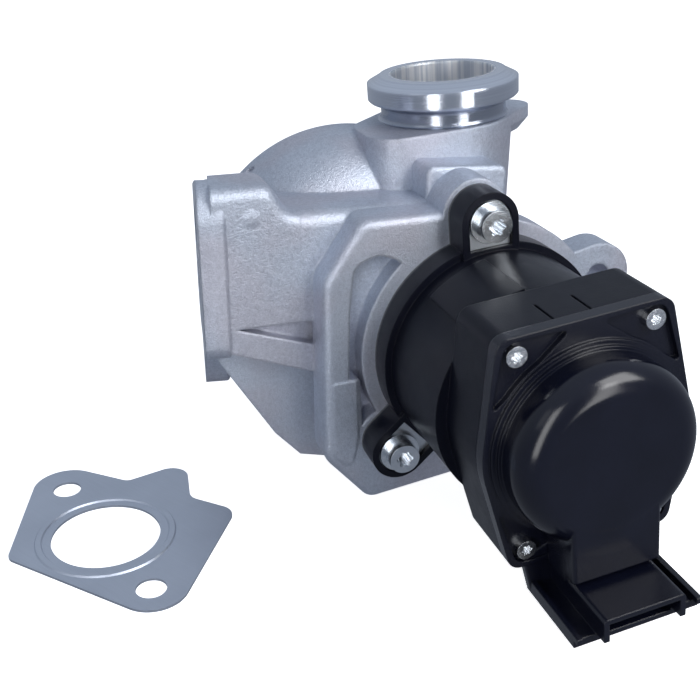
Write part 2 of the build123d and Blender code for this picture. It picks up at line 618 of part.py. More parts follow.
with BuildPart() as mounting_screws:
    with BuildSketch(facing_front(SCREW_DEPTH)):
        with Locations(*ear_spots()):
            Circle(SCREW_R)
    extrude(amount=SCREW_DEPTH - SCREW_SEAT)
    with BuildSketch(facing_front(SCREW_SEAT)):
        with Locations(*ear_spots()):
            Circle(SCREW_FLANGE_R)
    extrude(amount=SCREW_FLANGE_T)
    with BuildSketch(facing_front(SCREW_SEAT - SCREW_FLANGE_T)):
        with Locations(*ear_spots()):
            Circle(SCREW_HEAD_R)
    extrude(amount=SCREW_HEAD_H)
    # six-lobe sockets
    with BuildSketch(facing_front(SCREW_SEAT - SCREW_FLANGE_T - SCREW_HEAD_H)):
        with Locations(*ear_spots()):
            Circle(2.1)
            with PolarLocations(2.1, 6):
                Circle(0.62)
    extrude(amount=-3.0, mode=Mode.SUBTRACT)

# Actuator housing: ears and flange, barrel, and the turned block that carries the cover
block_top = CAP_CORNER_Z + CAP_LOBE_R
with BuildPart() as actuator_housing:
    with BuildSketch(facing_front(-BASE_GASKET_T)):
        add(ear_outline(FLANGE_R, EAR_R))
    extrude(amount=-FLANGE_FRONT - BASE_GASKET_T)
    with BuildSketch(facing_front(FLANGE_FRONT)):
        add(ear_outline(BODY_R - 2, EAR_R))
    extrude(amount=FLANGE_FRONT - EAR_FRONT)
    with BuildSketch(facing_front(FLANGE_FRONT)):
        Circle(BODY_R)
    extrude(amount=FLANGE_FRONT - BLOCK_BACK)
    with BuildSketch(cap_plane(BLOCK_BACK)):
        add(cap_outline())
    extrude(amount=BLOCK_BACK - COVER_SEAT)
    # raised field on the upper left of the barrel, up to the block
    with BuildSketch(facing_front(BARREL_PAD_BACK)):
        with BuildLine():
            field = CenterArc((0, 0), BODY_R + BARREL_PAD, BARREL_PAD_FROM, BARREL_PAD_TO - BARREL_PAD_FROM)
            Polyline(field @ 1, (0, 0), field @ 0)
        make_face()
    extrude(amount=BARREL_PAD_BACK - BLOCK_BACK)
    # slit behind the block, and the two grooves beside its latch tab
    with BuildSketch(cap_plane(BLOCK_BACK + SLIT_W)):
        with Locations((TAB_X - 2.0, BODY_R)):
            Rectangle(TAB_W + 7, 2 * SLIT_DEPTH)
    extrude(amount=SLIT_W, mode=Mode.SUBTRACT)
    with BuildSketch(cap_plane(BLOCK_BACK - 9)):
        with Locations((TAB_X - TAB_W / 2, block_top), (TAB_X + TAB_W / 2, block_top)):
            Rectangle(0.7, 1.4)
    extrude(amount=TAB_LEN, mode=Mode.SUBTRACT)
    # recess for the base plate, and the windows over the mounting screws
    with BuildSketch(facing_front(-BASE_GASKET_T)):
        add(ear_outline(BASE_R + LOOSE, EAR_R - EAR_WALL + LOOSE))
    extrude(amount=BASE_T, mode=Mode.SUBTRACT)
    with BuildSketch(facing_front(-BASE_GASKET_T)):
        add(window_outline())
    extrude(amount=20, mode=Mode.SUBTRACT)
    # stepped bore for spring, motor and cover
    housing_bores = [
        (-BASE_GASKET_T, -6.0, NOSE_HOLE_R),
        (-6.0, SHIELD_SEAT, SMALL_BORE_R),
        (SHIELD_SEAT, COVER_SEAT, BORE_R),
    ]
    for near, far, radius in housing_bores:
        with BuildSketch(facing_front(near)):
            Circle(radius)
        extrude(amount=near - far, mode=Mode.SUBTRACT)
    with BuildSketch(cap_plane(COVER_SEAT)):
        with GridLocations(2 * CAP_HALF_X, 2 * CAP_HALF_Z, 2, 2):
            Circle(CAP_SCREW_R + LOOSE / 2)
    extrude(amount=-CAP_SCREW_DEPTH + COVER_PLATE_T, mode=Mode.SUBTRACT)

# Motor: end shields, stator, rotor and its two ball bearings
shield_r = BORE_R - LOOSE
front_bearing_y = SHIELD_SEAT - 1.5
front_end_shield = turned(
    [(7.5, SHIELD_SEAT), (shield_r, SHIELD_SEAT), (shield_r, SHIELD_SEAT - SHIELD_T),
     (shield_r - 3, SHIELD_SEAT - SHIELD_T), (shield_r - 3, SHIELD_SEAT - 3), (BEARING_OUT_R + 2, SHIELD_SEAT - 3),
     (BEARING_OUT_R + 2, front_bearing_y - BEARING_W), (BEARING_OUT_R + LOOSE / 2, front_bearing_y - BEARING_W),
     (BEARING_OUT_R + LOOSE / 2, front_bearing_y), (7.5, front_bearing_y)],
    "front_end_shield",
)
rear_bearing_y = REAR_SHIELD_Y - 0.5
rear_shield_back = REAR_SHIELD_Y - SHIELD_T
rear_end_shield = turned(
    [(7.5, rear_shield_back), (7.5, rear_bearing_y - BEARING_W), (BEARING_OUT_R + LOOSE / 2, rear_bearing_y - BEARING_W),
     (BEARING_OUT_R + LOOSE / 2, REAR_SHIELD_Y), (BEARING_OUT_R + 2, REAR_SHIELD_Y),
     (BEARING_OUT_R + 2, rear_shield_back + 3), (shield_r - 3, rear_shield_back + 3), (shield_r - 3, REAR_SHIELD_Y + 1),
     (shield_r, REAR_SHIELD_Y + 1), (shield_r, rear_shield_back)],
    "rear_end_shield",
)


def bearing(front, name):
    """Outer ring, inner ring and balls of a deep groove ball bearing."""
    pitch = (BEARING_IN_R + BEARING_OUT_R) / 2
    middle = front - BEARING_W / 2
    groove = BALL_R + 0.1
    rings = []
    for inner, outer, part_name in (
        (BEARING_OUT_R - RACE_T, BEARING_OUT_R, f"{name}_outer_ring"),
        (BEARING_IN_R, BEARING_IN_R + RACE_T, f"{name}_inner_ring"),
    ):
        with BuildPart() as ring:
            with BuildSketch(Plane.XY):
                with Locations(((inner + outer) / 2, middle)):
                    Rectangle(outer - inner, BEARING_W)
                with Locations((pitch, middle)):
                    Circle(groove, mode=Mode.SUBTRACT)
            revolve(axis=Axis.Y)
        ring.part.label = part_name
        rings.append(ring)
    with BuildPart() as balls:
        for i in range(BALL_COUNT):
            turn = radians(360 * i / BALL_COUNT)
            with Locations((pitch * cos(turn), middle, pitch * sin(turn))):
                Sphere(BALL_R)
    return rings[0], rings[1], balls


front_bearing = bearing(front_bearing_y, "front_bearing")
rear_bearing = bearing(rear_bearing_y, "rear_bearing")

core_outer = BORE_R - LOOSE / 2
with BuildPart() as stator_core:
    with BuildSketch(facing_front(CORE_FRONT)):
        Circle(core_outer)
        Circle(core_outer - YOKE_T, mode=Mode.SUBTRACT)
        with PolarLocations((CORE_IN_R + core_outer) / 2, TOOTH_COUNT):
            Rectangle(core_outer - CORE_IN_R - 1, TOOTH_W)
        with PolarLocations(CORE_IN_R + 1, TOOTH_COUNT):
            Rectangle(2.2, 13.5)
        Circle(CORE_IN_R, mode=Mode.SUBTRACT)
    extrude(amount=CORE_LEN)
with BuildPart() as stator_coils:
    coil_in, coil_out = CORE_IN_R + 2.6, core_outer - YOKE_T - 1.0
    with BuildSketch(facing_front(CORE_FRONT + COIL_OVER)):
        with PolarLocations((coil_in + coil_out) / 2, TOOTH_COUNT):
            Rectangle(coil_out - coil_in, TOOTH_W + 2 * COIL_T)
    extrude(amount=CORE_LEN + 2 * COIL_OVER)
    with BuildSketch(facing_front(CORE_FRONT + 0.05)):
        with PolarLocations((coil_in + coil_out) / 2, TOOTH_COUNT):
            Rectangle(coil_out - coil_in + 2, TOOTH_W + 0.1)
    extrude(amount=CORE_LEN + 0.1, mode=Mode.SUBTRACT)

hub_front, hub_back = front_bearing_y, rear_bearing_y - BEARING_W
carrier_r = MAGNET_R - MAGNET_T
carrier_web = CORE_FRONT - CORE_LEN / 2
rotor_hub = turned(
    [(SPINDLE_R + 0.5, hub_front), (BEARING_IN_R, hub_front), (BEARING_IN_R, hub_front - BEARING_W),
     (BEARING_IN_R + 1.2, hub_front - BEARING_W), (BEARING_IN_R + 1.2, carrier_web + 2), (carrier_r - 2, carrier_web + 2),
     (carrier_r - 2, CORE_FRONT), (carrier_r, CORE_FRONT), (carrier_r, CORE_FRONT - CORE_LEN),
     (carrier_r - 2, CORE_FRONT - CORE_LEN), (carrier_r - 2, carrier_web - 2), (BEARING_IN_R + 1.2, carrier_web - 2),
     (BEARING_IN_R + 1.2, rear_bearing_y), (BEARING_IN_R, rear_bearing_y), (BEARING_IN_R, hub_back),
     (SPINDLE_R + 0.5, hub_back), (SPINDLE_R + 0.5, NUT_BACK), (SPINDLE_R + RUNNING, NUT_BACK),
     (SPINDLE_R + RUNNING, NUT_FRONT), (SPINDLE_R + 0.5, NUT_FRONT)],
    "rotor_hub",
)
with BuildPart() as rotor_magnets:
    with BuildSketch(facing_front(CORE_FRONT)):
        Circle(MAGNET_R)
        Circle(carrier_r + LOOSE / 2, mode=Mode.SUBTRACT)
        with PolarLocations(MAGNET_R, MAGNET_COUNT):
            Rectangle(2 * MAGNET_T + 2, 1.6, mode=Mode.SUBTRACT)
    extrude(amount=CORE_LEN)

# Spindle that pushes the stem, kept from turning by the keyed holder at its end
end_r = SPINDLE_R - 1
spindle = turned(
    [(0, STEM_END - 0.1), (SPINDLE_R - 1, STEM_END - 0.1), (SPINDLE_R, STEM_END - 1.1), (SPINDLE_R, HOLDER_FRONT),
     (end_r, HOLDER_FRONT), (end_r, SPINDLE_END), (0, SPINDLE_END)],
    "spindle",
)
with BuildPart() as spindle_guide:
    with BuildSketch(facing_front(rear_shield_back)):
        Circle(GUIDE_TUBE_R + 3)
    extrude(amount=2)
    with BuildSketch(facing_front(rear_shield_back)):
        Circle(GUIDE_TUBE_R)
    extrude(amount=rear_shield_back - GUIDE_TUBE_BACK)
    with BuildSketch(facing_front(rear_shield_back)):
        Circle(HOLDER_R + 0.3)
        Rectangle(2 * (HOLDER_R + KEY_H + 0.3), KEY_W + 0.1)
    extrude(amount=rear_shield_back - GUIDE_TUBE_BACK, mode=Mode.SUBTRACT)
with BuildPart() as magnet_holder:
    with BuildSketch(facing_front(HOLDER_FRONT)):
        Circle(HOLDER_R)
        Rectangle(2 * (HOLDER_R + KEY_H), KEY_W)
        Circle(end_r + LOOSE / 2, mode=Mode.SUBTRACT)
    extrude(amount=HOLDER_FRONT - HOLDER_BACK)
magnet_front = HOLDER_BACK + 2
with BuildPart() as sensor_magnet:
    with BuildSketch(facing_front(magnet_front)):
        Circle(SENSOR_MAGNET_R)
    extrude(amount=SENSOR_MAGNET_T)

# Position sensor board, its chip and the connector blades
board_back = BOARD_FRONT + BOARD_T
post_spots = [(15.5 * cos(radians(a)), 15.5 * sin(radians(a))) for a in (30, 150, 270)]
pin_xs = [PIN_PITCH * (i - (PIN_COUNT - 1) / 2) for i in range(PIN_COUNT)]
pin_z = (SHROUD_TOP + SHROUD_BOTTOM) / 2
with BuildPart() as sensor_board:
    with BuildSketch(cap_plane(board_back)):
        Circle(BOARD_R)
        with Locations((0, TAIL_Z)):
            Rectangle(TAIL_W, TAIL_H)
        with Locations(*post_spots):
            Circle(1.3, mode=Mode.SUBTRACT)
    extrude(amount=BOARD_T)
with BuildPart() as hall_sensor:
    with BuildSketch(cap_plane(board_back + 0.9)):
        Rectangle(5, 4)
    extrude(amount=0.9)
with BuildPart() as terminal_pins:
    with BuildSketch(cap_plane(BOARD_FRONT)):
        with Locations(*[(x, (pin_z + BLADE_TOP) / 2) for x in pin_xs]):
            Rectangle(PIN_W, BLADE_TOP - pin_z + PIN_T)
    extrude(amount=PIN_T)
    with BuildSketch(cap_plane(BOARD_FRONT)):
        with Locations(*[(x, pin_z) for x in pin_xs]):
            Rectangle(PIN_W, PIN_T)
    extrude(amount=BOARD_FRONT - PIN_FRONT)

# Cover: plate with locating ring, dome, neck and connector shroud
plate_front = COVER_SEAT - COVER_PLATE_T
with BuildPart() as cover:
    with BuildSketch(cap_plane(COVER_SEAT)):
        add(cap_outline())
    extrude(amount=COVER_PLATE_T)
    with BuildSketch(Plane.XY):
        with BuildLine():
            Polyline((0, plate_front + 1), (DOME_R + 2.4, plate_front + 1), (DOME_R + 2.4, plate_front - 1.0),
                     (DOME_R + 1.0, plate_front - 1.0), (DOME_R + 1.0, plate_front - 2.2), (DOME_R, plate_front - 2.2),
                     (DOME_R, DOME_FRONT + DOME_ROUND))
            RadiusArc((DOME_R, DOME_FRONT + DOME_ROUND), (DOME_R - DOME_ROUND, DOME_FRONT), DOME_ROUND)
            Line((DOME_R - DOME_ROUND, DOME_FRONT), (0, DOME_FRONT))
            Line((0, DOME_FRONT), (0, plate_front + 1))
        make_face()
    revolve(axis=Axis.Y)
    # neck down to the connector, and the ledge above it
    with BuildSketch(cap_plane(plate_front + 0.5)):
        with Locations((0, (NECK_BOTTOM - 2 - 18) / 2)):
            Rectangle(2 * NECK_HALF, -18 - NECK_BOTTOM + 2)
    extrude(amount=plate_front + 0.5 - NECK_FRONT)
    # connector shroud and its mounting rail
    with BuildSketch(cap_plane(COVER_SEAT - 1)):
        with Locations((0, (SHROUD_TOP + SHROUD_BOTTOM) / 2)):
            RectangleRounded(2 * SHROUD_HALF, SHROUD_TOP - SHROUD_BOTTOM, 1.2)
    extrude(amount=COVER_SEAT - 1 - SHROUD_FRONT)
    with BuildSketch(cap_plane(COVER_SEAT - 1)):
        with Locations((0, SHROUD_BOTTOM + RAIL_T / 2)):
            Rectangle(2 * RAIL_HALF, RAIL_T)
        with Locations((RAIL_HALF - 0.8, SHROUD_BOTTOM + RAIL_LIP / 2), (-RAIL_HALF + 0.8, SHROUD_BOTTOM + RAIL_LIP / 2)):
            Rectangle(1.6, RAIL_LIP)
    extrude(amount=COVER_SEAT - 1 - RAIL_FRONT)
    # sunken corners round the cover screws
    with BuildSketch(cap_plane(plate_front + CAP_POCKET)):
        for side in (-1, 1):
            for end in (-1, 1):
                with BuildSketch(mode=Mode.PRIVATE) as corner:
                    with Locations((side * CAP_HALF_X, end * CAP_HALF_Z)):
                        Circle(CAP_HEAD_R + 1.1)
                    with Locations((side * 6.5, end * (block_top - 2.6)), (side * (CAP_WAIST_R - 4.6), end * 17)):
                        Circle(0.8)
                    make_hull()
                add(corner.sketch)
        Circle(DOME_R + 3.0, mode=Mode.SUBTRACT)
    extrude(amount=CAP_POCKET, mode=Mode.SUBTRACT)
    # hollow inside
    with BuildSketch(Plane.XY):
        with BuildLine():
            inner_r, inner_round = DOME_R - DOME_WALL, DOME_ROUND - DOME_WALL
            inner_front = DOME_FRONT + DOME_WALL
            Polyline((0, inner_front), (0, COVER_SEAT), (inner_r, COVER_SEAT), (inner_r, inner_front + inner_round))
            RadiusArc((inner_r, inner_front + inner_round), (inner_r - inner_round, inner_front), inner_round)
            Line((inner_r - inner_round, inner_front), (0, inner_front))
        make_face()
    revolve(axis=Axis.Y, mode=Mode.SUBTRACT)
    with BuildSketch(cap_plane(COVER_SEAT)):
        with Locations((0, TAIL_Z - 2)):
            Rectangle(2 * NECK_HALF - 4, TAIL_H)
    extrude(amount=COVER_SEAT - NECK_FRONT - 2, mode=Mode.SUBTRACT)
    # posts that carry the sensor board, with staked tips
    with BuildSketch(cap_plane(BOARD_FRONT)):
        with Locations(*post_spots):
            Circle(2.4)
    extrude(amount=BOARD_FRONT - inner_front + 0.5)
    with BuildSketch(cap_plane(board_back + 0.5)):
        with Locations(*post_spots):
            Circle(1.2)
    extrude(amount=BOARD_T + 1)
    # locating ring with the seal groove
    with BuildSketch(cap_plane(COVER_SEAT + 3.5)):
        Circle(BORE_R - LOOSE)
        Circle(inner_r + 1.2, mode=Mode.SUBTRACT)
    extrude(amount=3.5)
    with BuildSketch(cap_plane(COVER_SEAT + 2.6)):
        Circle(BORE_R + 1)
        Circle(BORE_R - 1.4, mode=Mode.SUBTRACT)
    extrude(amount=1.7, mode=Mode.SUBTRACT)
    # connector mouth
    with BuildSketch(cap_plane(MOUTH_BACK)):
        with Locations((0, pin_z)):
            Rectangle(2 * (SHROUD_HALF - SHROUD_WALL), SHROUD_TOP - SHROUD_BOTTOM - 2 * SHROUD_WALL)
    extrude(amount=MOUTH_BACK - SHROUD_FRONT, mode=Mode.SUBTRACT)
    with BuildSketch(cap_plane(SHROUD_LIP)):
        with Locations((0, SHROUD_BOTTOM)):
            Rectangle(2 * RAIL_HALF, 2 * RAIL_T)
    extrude(amount=SHROUD_LIP - SHROUD_FRONT, mode=Mode.SUBTRACT)
    # slots that the blades are moulded into
    with BuildSketch(cap_plane(BOARD_FRONT + 0.05)):
        with Locations(*[(x, (pin_z - 30) / 2) for x in pin_xs]):
            Rectangle(PIN_W + LOOSE, -30 - pin_z + PIN_T + LOOSE)
    extrude(amount=PIN_T + LOOSE, mode=Mode.SUBTRACT)
    with BuildSketch(cap_plane(BOARD_FRONT)):
        with Locations(*[(x, pin_z) for x in pin_xs]):
            Rectangle(PIN_W + LOOSE, PIN_T + LOOSE)
    extrude(amount=BOARD_FRONT - MOUTH_BACK + 0.5, mode=Mode.SUBTRACT)
    with BuildSketch(cap_plane(COVER_SEAT)):
        with GridLocations(2 * CAP_HALF_X, 2 * CAP_HALF_Z, 2, 2):
            Circle(CAP_SCREW_R + 0.2)
    extrude(amount=COVER_PLATE_T + 6, mode=Mode.SUBTRACT)
with BuildPart() as cover_seal:
    with BuildSketch(Plane.XY):
        with Locations((BORE_R - 0.75, COVER_SEAT + 1.75)):
            Circle(0.65)
    revolve(axis=Axis.Y)
screw_floor = plate_front + CAP_POCKET
with BuildPart() as cover_screws:
    with BuildSketch(cap_plane(screw_floor)):
        with GridLocations(2 * CAP_HALF_X, 2 * CAP_HALF_Z, 2, 2):
            Circle(CAP_HEAD_R)
    extrude(amount=CAP_HEAD_H)
    with BuildSketch(cap_plane(screw_floor)):
        with GridLocations(2 * CAP_HALF_X, 2 * CAP_HALF_Z, 2, 2):
            Circle(CAP_SCREW_R)
    extrude(amount=-CAP_SCREW_DEPTH + CAP_POCKET + 0.5)
    with BuildSketch(cap_plane(screw_floor - CAP_HEAD_H)):
        with GridLocations(2 * CAP_HALF_X, 2 * CAP_HALF_Z, 2, 2):
            Circle(1.15)
            with PolarLocations(1.15, 6):
                Circle(0.4)
    extrude(amount=-1.6, mode=Mode.SUBTRACT)

save(valve_housing, "valve_housing")
save(port_gasket, "port_gasket")
save(seat_ring, "seat_ring")
save(core_plug, "core_plug")
save(poppet_valve, "poppet_valve")
save(stem_guide, "stem_guide")
save(stem_seal, "stem_seal")
save(spring_retainer, "spring_retainer")
save(collets, "collets")
save(return_spring, "return_spring")
save(base_gasket, "base_gasket")
save(base_plate, "base_plate")
save(mounting_screws, "mounting_screws")
save(actuator_housing, "actuator_housing")
save(front_end_shield, "front_end_shield")
save(rear_end_shield, "rear_end_shield")
for pieces, place in ((front_bearing, "front"), (rear_bearing, "rear")):
    save(pieces[0], f"{place}_bearing_outer_ring")
    save(pieces[1], f"{place}_bearing_inner_ring")
    save(pieces[2], f"{place}_bearing_balls")
save(stator_core, "stator_core")
save(stator_coils, "stator_coils")
save(rotor_hub, "rotor_hub")
save(rotor_magnets, "rotor_magnets")
save(spindle, "spindle")
save(spindle_guide, "spindle_guide")
save(magnet_holder, "magnet_holder")
save(sensor_magnet, "sensor_magnet")
save(sensor_board, "sensor_board")
save(hall_sensor, "hall_sensor")
save(terminal_pins, "terminal_pins")
save(cover, "cover")
save(cover_seal, "cover_seal")
save(cover_screws, "cover_screws")
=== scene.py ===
# Looks of an electrically driven exhaust gas recirculation valve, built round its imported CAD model.
import math

import bpy
from mathutils import Matrix, Vector


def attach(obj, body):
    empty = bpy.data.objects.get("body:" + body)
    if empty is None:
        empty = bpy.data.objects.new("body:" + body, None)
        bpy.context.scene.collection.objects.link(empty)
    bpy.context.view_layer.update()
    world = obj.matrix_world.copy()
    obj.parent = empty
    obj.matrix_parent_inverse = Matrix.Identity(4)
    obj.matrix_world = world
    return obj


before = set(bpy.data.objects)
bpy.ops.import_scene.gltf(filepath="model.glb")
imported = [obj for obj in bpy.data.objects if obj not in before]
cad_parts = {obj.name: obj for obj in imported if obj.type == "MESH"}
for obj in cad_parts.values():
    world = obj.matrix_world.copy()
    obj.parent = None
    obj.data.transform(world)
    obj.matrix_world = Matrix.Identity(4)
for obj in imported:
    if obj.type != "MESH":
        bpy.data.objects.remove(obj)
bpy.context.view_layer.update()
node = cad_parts

# Camera: the photograph looks down on the valve from its front left, a little
# to the port side of the actuator axis, through a moderately long lens.
film_width, photo_pixels, focal_pixels = 36.0, 700.0, 1000.0
view_right = Vector((0.94956, -0.31358, 0.00171))
view_up = Vector((0.12909, 0.39587, 0.90919))
view_back = Vector((-0.28578, -0.86311, 0.41638))
camera_place = Vector((-0.13138, -0.26344, 0.13006))
camera = bpy.data.objects.new("photo_camera", bpy.data.cameras.new("photo_camera"))
bpy.context.scene.collection.objects.link(camera)
camera.data.sensor_width = film_width
camera.data.lens = film_width * focal_pixels / photo_pixels
camera.data.clip_start, camera.data.clip_end = 0.01, 10.0
camera.matrix_world = Matrix.Translation(camera_place) @ Matrix(
    (view_right, view_up, view_back)).transposed().to_4x4()
bpy.context.scene.camera = camera

# Studio: a white table under the casting's foot, kept out of the reflections as a cut-out
# picture has it. A broad box hangs over the right shoulder, and two upright strips in front
# draw the long highlights on the turned spigot.
floor_level = -0.052
floor_left, floor_right, floor_front, floor_back = -4.0, 4.0, -3.0, 5.0
floor_mesh = bpy.data.meshes.new("studio_floor")
floor_mesh.from_pydata(
    [(floor_left, floor_front, floor_level), (floor_right, floor_front, floor_level),
     (floor_right, floor_back, floor_level), (floor_left, floor_back, floor_level)],
    [], [(0, 1, 2, 3)])
studio_floor = bpy.data.objects.new("studio_floor", floor_mesh)
bpy.context.scene.collection.objects.link(studio_floor)
studio_floor.visible_diffuse = studio_floor.visible_glossy = False
white_table = bpy.data.materials.new("white_table")
white_table.use_nodes = True
table_shader = white_table.node_tree.nodes["Principled BSDF"]
for socket, value in {"Base Color": (0.9, 0.9, 0.9, 1), "Roughness": 0.7,
                      "Specular IOR Level": 0.1, "Emission Color": (1.0, 1.0, 1.0, 1),
                      "Emission Strength": 0.82}.items():
    table_shader.inputs[socket].default_value = value
floor_mesh.materials.append(white_table)


def soft_box(name, place, aim, width, height, glow):
    """A rectangular studio lamp at place that points at aim, glow times as bright as paper."""
    lamp = bpy.data.lights.new(name, "AREA")
    lamp.shape, lamp.size, lamp.size_y = "RECTANGLE", width, height
    lamp.energy = glow * math.pi * width * height
    holder = bpy.data.objects.new(name, lamp)
    bpy.context.scene.collection.objects.link(holder)
    holder.location = place
    holder.rotation_euler = (Vector(aim) - Vector(place)).to_track_quat("-Z", "Y").to_euler()


soft_box("shoulder_box", place=(0.30, -0.52, 0.50), aim=(0.0, 0.0, 0.0),
         width=0.42, height=0.42, glow=6.3)
soft_box("left_box", place=(-0.80, -0.30, 0.45), aim=(-0.02, 0.0, 0.0),
         width=0.35, height=0.35, glow=0.5)
soft_box("left_strip", place=(-0.255, -0.318, 0.09), aim=(0.0046, 0.048, 0.07),
         width=0.115, height=0.34, glow=4.4)
soft_box("front_strip", place=(0.110, -0.395, 0.11), aim=(0.0046, 0.048, 0.08),
         width=0.095, height=0.32, glow=4.4)

# Studio air: the room that the bare metal mirrors. It is dim in front of the table and
# brighter overhead and behind it, and the picture is shown without a film curve.
air = bpy.data.worlds.new("studio_air")
bpy.context.scene.world = air
air.use_nodes = True
bpy.context.scene.view_settings.view_transform = "Standard"


class Wire:
    """A shader value. Arithmetic on it adds Math nodes, and node() adds any other node."""

    def __init__(self, tree, socket=None):
        self.tree, self.socket = tree, socket

    def node(self, kind, settings=None, sockets=None, out=0):
        made = self.tree.nodes.new("ShaderNode" + kind)
        for key, value in (settings or {}).items():
            setattr(made, key, value)
        for name, value in (sockets or {}).items():
            if isinstance(value, Wire):
                self.tree.links.new(value.socket, made.inputs[name])
            else:
                made.inputs[name].default_value = value
        return Wire(self.tree, made.outputs[out])

    def _math(self, operation, first, second=0.0):
        return self.node("Math", {"operation": operation}, {0: first, 1: second})

    def __add__(self, other):
        return self._math("ADD", self, other)

    def __sub__(self, other):
        return self._math("SUBTRACT", self, other)

    def __rsub__(self, other):
        return self._math("SUBTRACT", other, self)

    def __mul__(self, other):
        return self._math("MULTIPLY", self, other)

    __radd__, __rmul__ = __add__, __mul__

    def sine(self):
        return self._math("SINE", self)

    def step(self, low, high):
        """0 below low, 1 above high and smooth between them."""
        return self.node("MapRange", {"interpolation_type": "SMOOTHSTEP"},
                         {"Value": self, "From Min": low, "From Max": high})

    def mix(self, first, second):
        """Colour first where this value is 0, and second where it is 1."""
        # A Mix node's sockets share their names, so its colour sockets go by number.
        return self.node("Mix", {"data_type": "RGBA"}, {0: self, 6: first, 7: second}, out=2)

    def away(self, origin):
        """This place as seen from origin."""
        return self.node("VectorMath", {"operation": "SUBTRACT"}, {0: self, 1: origin})

    def along(self, direction, origin=(0.0, 0.0, 0.0)):
        """How far this place lies from origin in a direction."""
        return self.node("VectorMath", {"operation": "DOT_PRODUCT"},
                         {0: self.away(origin), 1: direction}, out="Value")

    def off_axis(self, direction, origin=(0.0, 0.0, 0.0)):
        """How far this place lies from the axis through origin in a direction."""
        across = self.node("VectorMath", {"operation": "CROSS_PRODUCT"},
                           {0: self.away(origin), 1: direction})
        return across.node("VectorMath", {"operation": "LENGTH"}, {0: across}, out="Value")


way = Wire(air.node_tree).node("TexCoord", out="Generated")
up_and_back = way.along((0.0, 0.35, 0.94))
air_tone = up_and_back.step(-0.35, 0.95).mix((0.215, 0.238, 0.285, 1), (0.43, 0.48, 0.56, 1))
air.node_tree.links.new(air_tone.socket, air.node_tree.nodes["Background"].inputs["Color"])

# Valve housing: one die casting of aluminium, blasted after casting, so it is grey with a sandy
# grain and soft edges. The hose spigot and the port face are machined bright, the spigot with
# the fine rings of the turning tool. Its neck is painted darker as painted shade, and its bore
# carries bright stripes of painted reflection, spread round it like the marks of a reamer.


def new_finish(name, metallic=0.0, **fixed):
    """A material, and the place on the part to build its pattern on."""
    material = bpy.data.materials.new(name)
    material.use_nodes = True
    for key, value in {"Metallic": metallic, **fixed}.items():
        socket = material.node_tree.nodes["Principled BSDF"].inputs[key.replace("_", " ")]
        socket.default_value = value
    return material, Wire(material.node_tree).node("TexCoord", out="Object")


def feed(material, **links):
    """Joins wires to the sockets of the material's shader."""
    shader = material.node_tree.nodes["Principled BSDF"]
    for key, wire in links.items():
        wire.tree.links.new(wire.socket, shader.inputs[key.replace("_", " ")])


def dress(material, *names):
    """Gives CAD nodes their finish."""
    for name in names:
        mesh = node[name].data
        mesh.materials.clear()
        mesh.materials.append(material)


def grain(place, size, detail=2.0):
    """Noise from 0 to 1 with features of about size metres."""
    return place.node("TexNoise", None, {"Vector": place, "Scale": 1.0 / size, "Detail": detail})


def tool_marks(size, detail=2.0, **distances):
    """Noise that changes only with the distances, given as X, Y or Z."""
    first = next(iter(distances.values()))
    return grain(first.node("CombineXYZ", None, distances), size, detail)


def ripple(distance, pitch):
    """Waves from 0 to 1, one for each pitch."""
    return (distance * (2.0 * math.pi / pitch)).sine() * 0.5 + 0.5


def relief(height, depth, rounding=0.0):
    """Surface relief as deep as depth metres, over edges that are broken by rounding."""
    sockets = {"Strength": 1.0, "Distance": depth, "Height": height}
    if rounding:
        sockets["Normal"] = height.node("Bevel", {"samples": 4}, {"Radius": rounding})
    return height.node("Bump", None, sockets)


spigot_foot = (0.0046, 0.048, 0.0623)
spigot_tilt = math.radians(4.6)
spigot_way = (-math.sin(spigot_tilt), 0.0, math.cos(spigot_tilt))
outlet_bore_r, spigot_neck_height = 0.0170, 0.0050
port_middle = (-0.0815, 0.045, 0.0225)
port_toe = math.radians(8.4)
port_way = (-math.cos(port_toe), math.sin(port_toe), 0.0)
turning_feed, milling_feed = 0.00035, 0.0007

cast, place = new_finish("cast_aluminium")
sand = grain(place, 0.00045)
pits = grain(place, 0.0012, 3.0)
blotch = grain(place, 0.022, 3.0)
tone = (sand - 0.5) * 1.1 + (pits - 0.5) * 0.8 + (blotch - 0.5) * 0.6 + 0.5
cool = tone.mix((0.380, 0.415, 0.490, 1), (0.640, 0.690, 0.780, 1))
warm = tone.mix((0.400, 0.405, 0.470, 1), (0.650, 0.660, 0.735, 1))
skin = grain(place, 0.030).step(0.40, 0.62).mix(cool, warm)

up_spigot = place.along(spigot_way, spigot_foot)
turned = up_spigot.step(0.0, 0.0003)
rings = tool_marks(turning_feed, Z=up_spigot)
# Painted shade: the neck at the spigot's foot gets a darker colour than the turned metal above it.
neck = turned * (1 - up_spigot.step(spigot_neck_height, spigot_neck_height + 0.0012))
from_bore = place.off_axis(spigot_way, spigot_foot)
reamed = turned * (1 - from_bore.step(outlet_bore_r + 0.0004, outlet_bore_r + 0.0008))
about_bore = place.node("CombineXYZ", None, {"X": place.along((1.0, 0.0, 0.08), spigot_foot),
                                             "Y": place.along((0.0, 1.0, 0.0), spigot_foot)})
round_bore = about_bore.node("VectorMath", {"operation": "NORMALIZE"}, {0: about_bore})
# Painted reflection: bright stripes round the bore's wall that whiten its colour.
reflection_streak_mask = grain(round_bore, 0.11).step(0.36, 0.64)
milled = place.along(port_way, port_middle).step(-0.0002, -0.0001)
cuts = ripple(place.off_axis(port_way, port_middle), milling_feed)
machined = turned + milled

